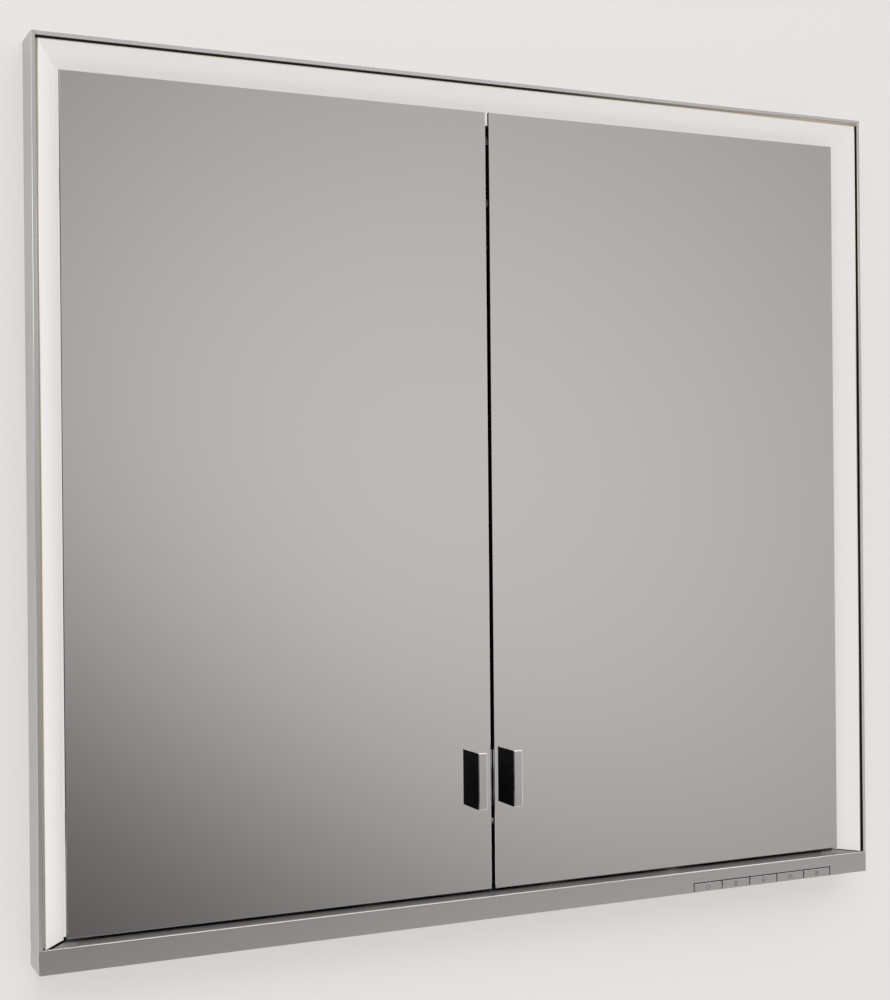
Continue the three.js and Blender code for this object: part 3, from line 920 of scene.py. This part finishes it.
def mark_paths(name):
    """The lines of each key's plain sign, in millimetres from the key's middle, and whether each closes."""
    ring = arc_path(1, 0, 360, 25)[:-1]
    rays = [np.array([[math.cos(a), math.sin(a)]]) * [[1.7], [2.4]] for a in np.arange(8) * math.pi / 4]
    wave = np.linspace(-2, 2, 15)
    lamp = np.array([[-2.6, 1.4], [2.6, 1.4]])
    beams = [np.array([[x, 0.4], [x * 1.3, -1.8]]) for x in (-1.6, 0, 1.6)]
    steam = [np.stack([x + 0.35 * np.sin(wave * 2.4), wave], axis=1) for x in (-1.4, 0, 1.4)]
    return {
        "power_key": [(arc_path(1.9, 125, 415), False), (np.array([[0, 0.5], [0, 2.5]]), False)],
        "dimmer_key": [(ring * 1.9, True), (np.array([[0, -1.6], [0, 1.6]]), False)],
        "mirror_light_key": [(ring * 1.0, True)] + [(ray, False) for ray in rays],
        "basin_light_key": [(line, False) for line in (lamp, *beams)],
        "demist_key": [(line, False) for line in steam],
    }[name]


def key_mark(name, material):
    """A key's sign as thin raised lines on the middle of its face."""
    low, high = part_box(name)
    middle = ((low.x + high.x) / 2, (low.z + high.z) / 2)
    proud = 0.03 * MM
    line_width = 0.5
    points, faces = [], []
    for path, closed in mark_paths(name):
        inner, outer = ribbon(path, line_width, closed)
        flat = np.concatenate([inner, outer]) * MM + middle
        count, start = len(inner), len(points)
        for depth in (low.y + proud, low.y - proud):
            points.extend(np.stack([flat[:, 0], np.full(len(flat), depth), flat[:, 1]], axis=1).tolist())
        faces.extend(ribbon_faces(count, closed, start))
    return finished(f"{name}_mark", points, faces, material)


def ribbon_faces(count, closed, start):
    """The faces of one raised line. Its points are the two edges at the back, then the two at the front."""
    j = np.arange(count if closed else count - 1)
    onward = (j + 1) % count
    layers = [(0, count), (count, 3 * count), (3 * count, 2 * count), (2 * count, 0)]
    strips = [np.stack([a + j, a + onward, b + onward, b + j], axis=1) for a, b in layers]
    faces = np.concatenate(strips)
    if not closed:
        ends = np.array([[0, count, 3 * count, 2 * count]])
        faces = np.concatenate([faces, ends, ends[:, ::-1] + count - 1])
    return (faces + start).tolist()


class CABINET_OT_keys(bpy.types.Operator):
    """Makes the five push keys with their stems and signs, and dresses the board behind them."""
    bl_idname = "cabinet.keys"
    bl_label = "Keys"

    def execute(self, context):
        material = key_metal()
        ink = moulded_plastic("sign_grey", (0.07, 0.07, 0.072), 0.5)
        edge = 0.25 * MM
        stem_deep = 4 * MM
        stem_half = 2 * MM
        stem_low = 2.2 * MM
        stem_top = 6.2 * MM
        for name in KEYS:
            low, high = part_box(name)
            middle = (low.x + high.x) / 2
            back = high.y - stem_deep
            cap = rounded_block(f"{name}_cap", low, (high.x, back, high.z), edge, material, 3)
            stem = plain_box(
                (middle - stem_half, back - MM, low.z + stem_low),
                (middle + stem_half, high.y, low.z + stem_top))
            carve(cap, [stem], "UNION")
            belongs(cap, name, "key_face", name)
            belongs(key_mark(name, ink), name, "key_face")
        dress(solder_mask(), "key_board")
        return {"FINISHED"}


# ---- body and inside

class CABINET_OT_body(bpy.types.Operator):
    """Dresses the niche body and rivets its rear panel to the sides."""
    bl_idname = "cabinet.body"
    bl_label = "Body"

    def execute(self, context):
        material = brushed_sheet()
        sheets = ("left", "right", "top", "bottom", "rear")
        dress(material, *[f"body_{sheet}" for sheet in sheets], "service_cover")
        low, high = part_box("body_rear")
        margin = 8 * MM
        columns = np.linspace(low.x + margin, high.x - margin, 9)
        rows = np.linspace(low.z + margin, high.z - margin, 8)
        edge_rows = np.array([(x, high.y, z) for z in rows[[0, -1]] for x in columns])
        edge_columns = np.array([(x, high.y, z) for x in columns[[0, -1]] for z in rows[1:-1]])
        spots = np.concatenate([edge_rows, edge_columns])
        radius = 2.6 * MM
        height = 1.1 * MM
        rivets = domes("rear_rivets", spots, radius, height, 1, material)
        belongs(rivets, "cabinet", "body_sheet")
        dress(moulded_plastic("black_rubber", (0.02, 0.02, 0.02), 0.7), "cable_grommet")
        return {"FINISHED"}


class CABINET_OT_shelves(bpy.types.Operator):
    """Makes the glass shelves with polished edges, and dresses their rails and the rear mirror."""
    bl_idname = "cabinet.shelves"
    bl_label = "Shelves"

    def execute(self, context):
        look = looks("inside")
        glass = clear_glass()
        for level in LEVELS:
            node = f"shelf_{level}"
            shelf = rounded_block(f"{node}_glass", *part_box(node), look.polished, glass)
            belongs(shelf, "cabinet", "shelf_glass", node)
        dress(plain_metal(), *[f"shelf_rail_{level}_{hand}" for level in LEVELS for hand in HANDS])
        low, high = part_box("rear_mirror")
        silver = silvered_glass("inner_mirror", low.y, high.y + MM)
        mirror = rounded_block("rear_mirror_pane", low, high, 0.5 * MM, silver)
        belongs(mirror, "cabinet", "rear_mirror_glass", "rear_mirror")
        return {"FINISHED"}


class CABINET_OT_services(bpy.types.Operator):
    """Makes the twin socket, and dresses the lamp driver, the terminals and the door stops."""
    bl_idname = "cabinet.services"
    bl_label = "Services"

    def execute(self, context):
        look = looks("inside")
        white = moulded_plastic("socket_white", look.plastic[:], 0.2)
        black = moulded_plastic("black_moulding", (0.03, 0.03, 0.032), 0.45)
        make_socket(white, black)
        dress(moulded_plastic("driver_case", (0.80, 0.80, 0.79), 0.5), "lamp_driver")
        dress(black, "terminal_block")
        for hand in HANDS:
            stop = rounded_block(f"{hand}_door_stop", *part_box(f"{hand}_catch"), 0.8 * MM, black)
            belongs(stop, "cabinet", "catch", f"{hand}_catch")
        return {"FINISHED"}


def drum(name, centre, radius, depth, material, around=40):
    """A round bar along x: a circle of the given radius carried from one face to the other."""
    turn = np.linspace(0, 2 * math.pi, around, endpoint=False)
    x = np.array([centre[0] - depth / 2, centre[0] + depth / 2])[:, None]
    rings = np.stack([
        np.broadcast_to(x, (2, around)),
        np.broadcast_to(centre[1] + radius * np.cos(turn), (2, around)),
        np.broadcast_to(centre[2] + radius * np.sin(turn), (2, around)),
    ], axis=-1)
    return loft(name, rings, material, 4 * MM)


def make_socket(white, black):
    """A housing with two round recesses, each with two contact holes and two earth clips."""
    low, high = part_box("twin_socket")
    middle = (low + high) / 2
    recess = 19.5 * MM
    depth = 15 * MM
    pitch = 71 * MM
    centres = [middle.z + step * pitch for step in (-0.5, 0.5)]
    cover = rounded_block("socket_cover", low, high, 2.2 * MM, white, 5)
    tools = [drum("tool", (low.x, middle.y, z), recess, 2 * depth, None) for z in centres]
    carve(cover, tools)
    belongs(cover, "cabinet", "socket", "twin_socket")
    floor = low.x + depth
    contact_reach = 9.5 * MM
    contact_radius = 2.6 * MM
    contact_proud = 0.3 * MM
    sides = [(z, side) for z in centres for side in (-1, 1)]
    for index, (z, side) in enumerate(sides):
        centre = (floor, middle.y + side * contact_reach, z)
        hole = drum(f"contact_hole_{index + 1}", centre, contact_radius, contact_proud, black, 20)
        belongs(hole, "cabinet", "socket")
    steel = brushed_steel()
    clip_room = 1.2 * MM
    clip_thick = 0.9 * MM
    clip_deep = 9 * MM
    clip_half = 2.2 * MM
    clip_edge = 0.3 * MM
    for index, (z, side) in enumerate(sides):
        near = z + side * (recess - clip_room)
        span = sorted((near, near + side * clip_thick))
        clip = rounded_block(
            f"earth_clip_{index + 1}", (floor - clip_deep, middle.y - clip_half, span[0]),
            (floor - 0.2 * MM, middle.y + clip_half, span[1]), clip_edge, steel, 2)
        belongs(clip, "cabinet", "hinge_steel")


# ---- stage

def wall_paint():
    """Matt pale wall paint with a faint roller texture. Its even glow is painted a little stronger on the
    left as painted light.
    """
    look = looks("stage")
    finish = Finish("wall_paint")
    cloud = finish.noise(2, 2)
    roller = finish.noise(700, 2)
    x, _, _ = finish.place()
    # Painted light: the wall's even glow is a little stronger on the left than on the right
    rightwards = (x + look.panel_half) / (2 * look.panel_half)
    finish.set("Emission Color", finish.mix(rightwards, (1.0, 0.975, 0.965), (0.955, 0.93, 0.92)))
    finish.set("Emission Strength", look.wall_glow)
    finish.bump(roller, 0.03, 0.05 * MM)
    return finish.done(finish.vary(cloud, look.wall_colour, 0.01), 0.9)


def wall_panel(material):
    """A panel round the niche: one rectangle inside another, joined at the front, back and edges."""
    look = looks("stage")
    low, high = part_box("body_rear")
    gap = MM
    middle = np.array([0, (low.z + high.z) / 2])
    hole = middle - CORNERS * (np.array([high.x, (high.z - low.z) / 2]) + gap)
    outer = middle - CORNERS * look.panel_half
    loops = [(outer, 0.0), (hole, 0.0), (hole, look.panel_thick), (outer, look.panel_thick)]
    points = np.concatenate([np.insert(flat, 1, depth, axis=1) for flat, depth in loops])
    j = np.arange(4)
    onward = (j + 1) % 4
    faces = [np.stack([4 * a + j, 4 * a + onward, 4 * b + onward, 4 * b + j], axis=1)
             for a, b in ((0, 1), (1, 2), (2, 3), (3, 0))]
    return finished("wall_panel", points.tolist(), np.concatenate(faces).tolist(), material)


def bell(x, z, centre, spread):
    """A soft round patch exp(-u^2 - v^2), where u and v are the distances from its centre across and
    upwards, each over its spread."""
    across = (x - centre[0]) / spread[0]
    upwards = (z - centre[1]) / spread[1]
    return (0 - across * across - upwards * upwards).exp()


def studio_world():
    """A soft grey room, worked out from the direction (x, y, z). It has a broad glow in front and to the
    right, which a slanted S-curve 1 / (1 + exp(d)) lets in. The lower left corner is dark, and the ceiling
    and a window on the right are bright. The camera itself sees an even pale surround."""
    slant_height = 0.0123
    slant_fall = 0.676
    slant_soft = 0.0787
    room_level = 0.0674
    glow_level = 0.442
    ceiling_level = 1.7
    window_level = 1.1
    corner_depth = 0.97
    exposure = 1.13
    pale_level = 0.76
    warmth = (1.0, 0.985, 0.98)

    world = bpy.data.worlds.new("studio")
    bpy.context.scene.world = world
    world.use_nodes = True
    tree = world.node_tree
    x, _, z = coordinates(tree, "Generated")
    right = x.most(0.12)
    slant = 1 / (1 + ((slant_height - z - right * slant_fall) / slant_soft).exp())
    glow = bell(right, z, (0.398, -0.0084), (0.4207, 0.4514))
    room = room_level + glow_level * (slant * glow)
    ceiling = ramp(z, 0.33, 0.25) * ceiling_level
    window = ramp(x, 0.70, 0.18) * window_level
    corner = 1 - corner_depth * bell(x, z, (-0.44, -0.18), (0.13, 0.16))
    level = (room * corner + ceiling + window) * exposure
    seen = add_node(tree, "ShaderNodeLightPath", output="Is Camera Ray")
    tinted = tree.nodes.new("ShaderNodeCombineColor")
    for socket, gain in zip(tinted.inputs, warmth):
        feed(tree, socket, level * (gain * (1 - seen)) + seen * (pale_level * gain))
    background = tree.nodes["Background"]
    feed(tree, background.inputs["Color"], Term(tree, tinted.outputs[0]))
    background.inputs["Strength"].default_value = 1.0


def soft_light(name, place, target, size, power):
    """A square soft box that faces a point and doesn't show in the mirrors."""
    lamp = bpy.data.lights.new(name, "AREA")
    lamp.size = size
    lamp.energy = power
    lamp.color = (1.0, 0.985, 0.975)
    holder = bpy.data.objects.new(name, lamp)
    holder.location = place
    holder.visible_glossy = False
    holder.rotation_euler = (Vector(target) - Vector(place)).to_track_quat("-Z", "Y").to_euler()
    bpy.context.scene.collection.objects.link(holder)
    return holder


class CABINET_OT_stage(bpy.types.Operator):
    """Makes the wall panel, the floor, the lights and the camera."""
    bl_idname = "cabinet.stage"
    bl_label = "Stage"

    def execute(self, context):
        look = looks("stage")
        paint = wall_paint()
        floor_level = BOTTOM - look.floor_drop
        floor_thick = 0.02
        floor_half = 3.5
        floor_front = -3.3
        corners = np.array([
            (-floor_half, floor_front), (floor_half, floor_front),
            (floor_half, floor_half), (-floor_half, floor_half)])
        vinyl = moulded_plastic("floor", (0.42, 0.412, 0.408), 0.6, 300)
        floor = loft("floor", upright(corners, floor_level - floor_thick, floor_level), vinyl)
        wall_panel(paint)
        studio_world()
        centre = (0, 0, (BOTTOM + TOP) / 2)
        for name, (place, size, power) in LAMPS.items():
            soft_light(name, place, centre, size, power)
        camera = bpy.data.cameras.new("camera")
        camera.lens = look.lens
        camera.sensor_width = 36
        holder = bpy.data.objects.new("camera", camera)
        turn = Matrix.Rotation(-look.camera_yaw, 3, "Z") @ Matrix.Rotation(math.pi / 2, 3, "X")
        turn = turn @ Matrix.Rotation(-look.camera_roll, 3, "Z")
        holder.matrix_world = Matrix.Translation(look.camera_place) @ turn.to_4x4()
        context.scene.collection.objects.link(holder)
        context.scene.camera = holder
        context.scene.view_settings.view_transform = "Standard"
        return {"FINISHED"}


OPERATORS = (
    CABINET_OT_stage, CABINET_OT_rails, CABINET_OT_bottom_rail, CABINET_OT_light_band, CABINET_OT_doors,
    CABINET_OT_grips, CABINET_OT_hinges, CABINET_OT_keys, CABINET_OT_body, CABINET_OT_shelves,
    CABINET_OT_services,
)


class CABINET_PT_panel(bpy.types.Panel):
    """Lists the cabinet's operators in the sidebar."""
    bl_idname = "CABINET_PT_panel"
    bl_label = "Mirror cabinet"
    bl_space_type = "VIEW_3D"
    bl_region_type = "UI"
    bl_category = "Cabinet"

    def draw(self, context):
        for operator in OPERATORS:
            self.layout.operator(operator.bl_idname)


CLASSES = (*SETTINGS.values(), *OPERATORS, CABINET_PT_panel)


def register():
    for cls in CLASSES:
        bpy.utils.register_class(cls)
    for name, group in SETTINGS.items():
        setattr(bpy.types.Scene, name, PointerProperty(type=group))


def unregister():
    for name in SETTINGS:
        delattr(bpy.types.Scene, name)
    for cls in reversed(CLASSES):
        bpy.utils.unregister_class(cls)


def main():
    register()
    for operator in OPERATORS:
        group, action = operator.bl_idname.split(".")
        getattr(getattr(bpy.ops, group), action)()


if __name__ == "__main__":
    main()
